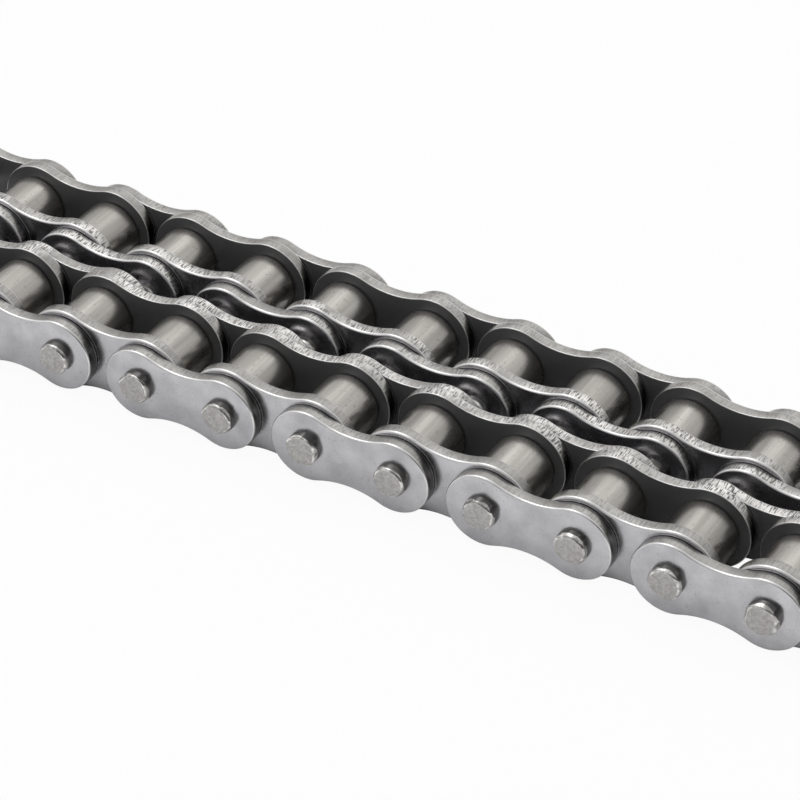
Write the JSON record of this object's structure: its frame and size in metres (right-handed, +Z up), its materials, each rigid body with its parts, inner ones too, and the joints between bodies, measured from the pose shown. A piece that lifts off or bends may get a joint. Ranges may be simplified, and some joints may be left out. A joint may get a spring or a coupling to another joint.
{
  "type": "motorcycle chain",
  "caption": "Steel roller chain for a motorcycle: waisted link plates riveted on pins, with bushes and turning rollers, lying as straight lengths side by side.",
  "frame": {"origin": "centre of the pair's outline on the floor that the plates stand on", "axes": "+X along the strands to the free inner links, +Y along the pins from the near strand to the far one, +Z up"},
  "size_m": [0.165, 0.0354, 0.0115],
  "materials": {
    "plate_steel": "stamped and tumbled, satin grey",
    "roller_steel": "turned and hardened, fine lathe grain",
    "pin_steel": "hardened, with riveted ends"
  },
  "bodies": {
    "near_inner_link_1": {"near_inner_link_1": "plate_steel"},
    "near_inner_link_2": {"near_inner_link_2": "plate_steel"},
    "near_inner_link_3": {"near_inner_link_3": "plate_steel"},
    "near_inner_link_4": {"near_inner_link_4": "plate_steel"},
    "near_inner_link_5": {"near_inner_link_5": "plate_steel"},
    "near_inner_link_6": {"near_inner_link_6": "plate_steel"},
    "near_roller_1": {"near_roller_1": "roller_steel"},
    "near_roller_2": {"near_roller_2": "roller_steel"},
    "near_roller_3": {"near_roller_3": "roller_steel"},
    "near_roller_4": {"near_roller_4": "roller_steel"},
    "near_roller_5": {"near_roller_5": "roller_steel"},
    "near_roller_6": {"near_roller_6": "roller_steel"},
    "near_roller_7": {"near_roller_7": "roller_steel"},
    "near_roller_8": {"near_roller_8": "roller_steel"},
    "near_roller_9": {"near_roller_9": "roller_steel"},
    "near_roller_10": {"near_roller_10": "roller_steel"},
    "near_roller_11": {"near_roller_11": "roller_steel"},
    "near_roller_12": {"near_roller_12": "roller_steel"},
    "near_outer_link_1": {"near_outer_plates_1": "plate_steel", "near_pins_1": "pin_steel"},
    "near_outer_link_2": {"near_outer_plates_2": "plate_steel", "near_pins_2": "pin_steel"},
    "near_outer_link_3": {"near_outer_plates_3": "plate_steel", "near_pins_3": "pin_steel"},
    "near_outer_link_4": {"near_outer_plates_4": "plate_steel", "near_pins_4": "pin_steel"},
    "near_outer_link_5": {"near_outer_plates_5": "plate_steel", "near_pins_5": "pin_steel"},
    "near_outer_link_6": {"near_outer_plates_6": "plate_steel", "near_pins_6": "pin_steel"},
    "far_inner_link_1": {"far_inner_link_1": "plate_steel"},
    "far_inner_link_2": {"far_inner_link_2": "plate_steel"},
    "far_inner_link_3": {"far_inner_link_3": "plate_steel"},
    "far_inner_link_4": {"far_inner_link_4": "plate_steel"},
    "far_inner_link_5": {"far_inner_link_5": "plate_steel"},
    "far_inner_link_6": {"far_inner_link_6": "plate_steel"},
    "far_roller_1": {"far_roller_1": "roller_steel"},
    "far_roller_2": {"far_roller_2": "roller_steel"},
    "far_roller_3": {"far_roller_3": "roller_steel"},
    "far_roller_4": {"far_roller_4": "roller_steel"},
    "far_roller_5": {"far_roller_5": "roller_steel"},
    "far_roller_6": {"far_roller_6": "roller_steel"},
    "far_roller_7": {"far_roller_7": "roller_steel"},
    "far_roller_8": {"far_roller_8": "roller_steel"},
    "far_roller_9": {"far_roller_9": "roller_steel"},
    "far_roller_10": {"far_roller_10": "roller_steel"},
    "far_roller_11": {"far_roller_11": "roller_steel"},
    "far_roller_12": {"far_roller_12": "roller_steel"},
    "far_outer_link_1": {"far_outer_plates_1": "plate_steel", "far_pins_1": "pin_steel"},
    "far_outer_link_2": {"far_outer_plates_2": "plate_steel", "far_pins_2": "pin_steel"},
    "far_outer_link_3": {"far_outer_plates_3": "plate_steel", "far_pins_3": "pin_steel"},
    "far_outer_link_4": {"far_outer_plates_4": "plate_steel", "far_pins_4": "pin_steel"},
    "far_outer_link_5": {"far_outer_plates_5": "plate_steel", "far_pins_5": "pin_steel"},
    "far_outer_link_6": {"far_outer_plates_6": "plate_steel", "far_pins_6": "pin_steel"}
  },
  "joints": [
    {"name": "far_strand_slide", "type": "slide", "parent": "near_inner_link_3", "child": "far_inner_link_3", "axis": [0, 1, 0], "range_m": [0, 0.03]},
    {"name": "near_hinge_1", "type": "hinge", "parent": "near_inner_link_1", "child": "near_outer_link_1", "pos_m": [-0.0647, -0.00893, 0.00575], "axis": [0, 1, 0], "range_deg": [-25.7, 25.7]},
    {"name": "near_hinge_2", "type": "hinge", "parent": "near_outer_link_2", "child": "near_inner_link_1", "pos_m": [-0.052, -0.00893, 0.00575], "axis": [0, 1, 0], "range_deg": [-25.7, 25.7]},
    {"name": "near_hinge_3", "type": "hinge", "parent": "near_inner_link_2", "child": "near_outer_link_2", "pos_m": [-0.0393, -0.00893, 0.00575], "axis": [0, 1, 0], "range_deg": [-25.7, 25.7]},
    {"name": "near_hinge_4", "type": "hinge", "parent": "near_outer_link_3", "child": "near_inner_link_2", "pos_m": [-0.0266, -0.00893, 0.00575], "axis": [0, 1, 0], "range_deg": [-25.7, 25.7]},
    {"name": "near_hinge_5", "type": "hinge", "parent": "near_inner_link_3", "child": "near_outer_link_3", "pos_m": [-0.0139, -0.00893, 0.00575], "axis": [0, 1, 0], "range_deg": [-25.7, 25.7]},
    {"name": "near_hinge_6", "type": "hinge", "parent": "near_inner_link_3", "child": "near_outer_link_4", "pos_m": [-0.0012, -0.00893, 0.00575], "axis": [0, -1, 0], "range_deg": [-25.7, 25.7]},
    {"name": "near_hinge_7", "type": "hinge", "parent": "near_outer_link_4", "child": "near_inner_link_4", "pos_m": [0.0115, -0.00893, 0.00575], "axis": [0, -1, 0], "range_deg": [-25.7, 25.7]},
    {"name": "near_hinge_8", "type": "hinge", "parent": "near_inner_link_4", "child": "near_outer_link_5", "pos_m": [0.0242, -0.00893, 0.00575], "axis": [0, -1, 0], "range_deg": [-25.7, 25.7]},
    {"name": "near_hinge_9", "type": "hinge", "parent": "near_outer_link_5", "child": "near_inner_link_5", "pos_m": [0.0369, -0.00893, 0.00575], "axis": [0, -1, 0], "range_deg": [-25.7, 25.7]},
    {"name": "near_hinge_10", "type": "hinge", "parent": "near_inner_link_5", "child": "near_outer_link_6", "pos_m": [0.0496, -0.00893, 0.00575], "axis": [0, -1, 0], "range_deg": [-25.7, 25.7]},
    {"name": "near_hinge_11", "type": "hinge", "parent": "near_outer_link_6", "child": "near_inner_link_6", "pos_m": [0.0623, -0.00893, 0.00575], "axis": [0, -1, 0], "range_deg": [-25.7, 25.7]},
    {"name": "near_roller_spin_1", "type": "hinge", "parent": "near_inner_link_1", "child": "near_roller_1", "pos_m": [-0.0647, -0.00893, 0.00575], "axis": [0, 1, 0], "continuous": true},
    {"name": "near_roller_spin_2", "type": "hinge", "parent": "near_inner_link_1", "child": "near_roller_2", "pos_m": [-0.052, -0.00893, 0.00575], "axis": [0, 1, 0], "continuous": true},
    {"name": "near_roller_spin_3", "type": "hinge", "parent": "near_inner_link_2", "child": "near_roller_3", "pos_m": [-0.0393, -0.00893, 0.00575], "axis": [0, 1, 0], "continuous": true},
    {"name": "near_roller_spin_4", "type": "hinge", "parent": "near_inner_link_2", "child": "near_roller_4", "pos_m": [-0.0266, -0.00893, 0.00575], "axis": [0, 1, 0], "continuous": true},
    {"name": "near_roller_spin_5", "type": "hinge", "parent": "near_inner_link_3", "child": "near_roller_5", "pos_m": [-0.0139, -0.00893, 0.00575], "axis": [0, 1, 0], "continuous": true},
    {"name": "near_roller_spin_6", "type": "hinge", "parent": "near_inner_link_3", "child": "near_roller_6", "pos_m": [-0.0012, -0.00893, 0.00575], "axis": [0, 1, 0], "continuous": true},
    {"name": "near_roller_spin_7", "type": "hinge", "parent": "near_inner_link_4", "child": "near_roller_7", "pos_m": [0.0115, -0.00893, 0.00575], "axis": [0, 1, 0], "continuous": true},
    {"name": "near_roller_spin_8", "type": "hinge", "parent": "near_inner_link_4", "child": "near_roller_8", "pos_m": [0.0242, -0.00893, 0.00575], "axis": [0, 1, 0], "continuous": true},
    {"name": "near_roller_spin_9", "type": "hinge", "parent": "near_inner_link_5", "child": "near_roller_9", "pos_m": [0.0369, -0.00893, 0.00575], "axis": [0, 1, 0], "continuous": true},
    {"name": "near_roller_spin_10", "type": "hinge", "parent": "near_inner_link_5", "child": "near_roller_10", "pos_m": [0.0496, -0.00893, 0.00575], "axis": [0, 1, 0], "continuous": true},
    {"name": "near_roller_spin_11", "type": "hinge", "parent": "near_inner_link_6", "child": "near_roller_11", "pos_m": [0.0623, -0.00893, 0.00575], "axis": [0, 1, 0], "continuous": true},
    {"name": "near_roller_spin_12", "type": "hinge", "parent": "near_inner_link_6", "child": "near_roller_12", "pos_m": [0.075, -0.00893, 0.00575], "axis": [0, 1, 0], "continuous": true},
    {"name": "far_hinge_1", "type": "hinge", "parent": "far_inner_link_1", "child": "far_outer_link_1", "pos_m": [-0.0629, 0.00893, 0.00575], "axis": [0, 1, 0], "range_deg": [-25.7, 25.7]},
    {"name": "far_hinge_2", "type": "hinge", "parent": "far_outer_link_2", "child": "far_inner_link_1", "pos_m": [-0.0502, 0.00893, 0.00575], "axis": [0, 1, 0], "range_deg": [-25.7, 25.7]},
    {"name": "far_hinge_3", "type": "hinge", "parent": "far_inner_link_2", "child": "far_outer_link_2", "pos_m": [-0.0375, 0.00893, 0.00575], "axis": [0, 1, 0], "range_deg": [-25.7, 25.7]},
    {"name": "far_hinge_4", "type": "hinge", "parent": "far_outer_link_3", "child": "far_inner_link_2", "pos_m": [-0.0248, 0.00893, 0.00575], "axis": [0, 1, 0], "range_deg": [-25.7, 25.7]},
    {"name": "far_hinge_5", "type": "hinge", "parent": "far_inner_link_3", "child": "far_outer_link_3", "pos_m": [-0.0121, 0.00893, 0.00575], "axis": [0, 1, 0], "range_deg": [-25.7, 25.7]},
    {"name": "far_hinge_6", "type": "hinge", "parent": "far_inner_link_3", "child": "far_outer_link_4", "pos_m": [0.0006, 0.00893, 0.00575], "axis": [0, -1, 0], "range_deg": [-25.7, 25.7]},
    {"name": "far_hinge_7", "type": "hinge", "parent": "far_outer_link_4", "child": "far_inner_link_4", "pos_m": [0.0133, 0.00893, 0.00575], "axis": [0, -1, 0], "range_deg": [-25.7, 25.7]},
    {"name": "far_hinge_8", "type": "hinge", "parent": "far_inner_link_4", "child": "far_outer_link_5", "pos_m": [0.026, 0.00893, 0.00575], "axis": [0, -1, 0], "range_deg": [-25.7, 25.7]},
    {"name": "far_hinge_9", "type": "hinge", "parent": "far_outer_link_5", "child": "far_inner_link_5", "pos_m": [0.0387, 0.00893, 0.00575], "axis": [0, -1, 0], "range_deg": [-25.7, 25.7]},
    {"name": "far_hinge_10", "type": "hinge", "parent": "far_inner_link_5", "child": "far_outer_link_6", "pos_m": [0.0514, 0.00893, 0.00575], "axis": [0, -1, 0], "range_deg": [-25.7, 25.7]},
    {"name": "far_hinge_11", "type": "hinge", "parent": "far_outer_link_6", "child": "far_inner_link_6", "pos_m": [0.0641, 0.00893, 0.00575], "axis": [0, -1, 0], "range_deg": [-25.7, 25.7]},
    {"name": "far_roller_spin_1", "type": "hinge", "parent": "far_inner_link_1", "child": "far_roller_1", "pos_m": [-0.0629, 0.00893, 0.00575], "axis": [0, 1, 0], "continuous": true},
    {"name": "far_roller_spin_2", "type": "hinge", "parent": "far_inner_link_1", "child": "far_roller_2", "pos_m": [-0.0502, 0.00893, 0.00575], "axis": [0, 1, 0], "continuous": true},
    {"name": "far_roller_spin_3", "type": "hinge", "parent": "far_inner_link_2", "child": "far_roller_3", "pos_m": [-0.0375, 0.00893, 0.00575], "axis": [0, 1, 0], "continuous": true},
    {"name": "far_roller_spin_4", "type": "hinge", "parent": "far_inner_link_2", "child": "far_roller_4", "pos_m": [-0.0248, 0.00893, 0.00575], "axis": [0, 1, 0], "continuous": true},
    {"name": "far_roller_spin_5", "type": "hinge", "parent": "far_inner_link_3", "child": "far_roller_5", "pos_m": [-0.0121, 0.00893, 0.00575], "axis": [0, 1, 0], "continuous": true},
    {"name": "far_roller_spin_6", "type": "hinge", "parent": "far_inner_link_3", "child": "far_roller_6", "pos_m": [0.0006, 0.00893, 0.00575], "axis": [0, 1, 0], "continuous": true},
    {"name": "far_roller_spin_7", "type": "hinge", "parent": "far_inner_link_4", "child": "far_roller_7", "pos_m": [0.0133, 0.00893, 0.00575], "axis": [0, 1, 0], "continuous": true},
    {"name": "far_roller_spin_8", "type": "hinge", "parent": "far_inner_link_4", "child": "far_roller_8", "pos_m": [0.026, 0.00893, 0.00575], "axis": [0, 1, 0], "continuous": true},
    {"name": "far_roller_spin_9", "type": "hinge", "parent": "far_inner_link_5", "child": "far_roller_9", "pos_m": [0.0387, 0.00893, 0.00575], "axis": [0, 1, 0], "continuous": true},
    {"name": "far_roller_spin_10", "type": "hinge", "parent": "far_inner_link_5", "child": "far_roller_10", "pos_m": [0.0514, 0.00893, 0.00575], "axis": [0, 1, 0], "continuous": true},
    {"name": "far_roller_spin_11", "type": "hinge", "parent": "far_inner_link_6", "child": "far_roller_11", "pos_m": [0.0641, 0.00893, 0.00575], "axis": [0, 1, 0], "continuous": true},
    {"name": "far_roller_spin_12", "type": "hinge", "parent": "far_inner_link_6", "child": "far_roller_12", "pos_m": [0.0768, 0.00893, 0.00575], "axis": [0, 1, 0], "continuous": true}
  ]
}
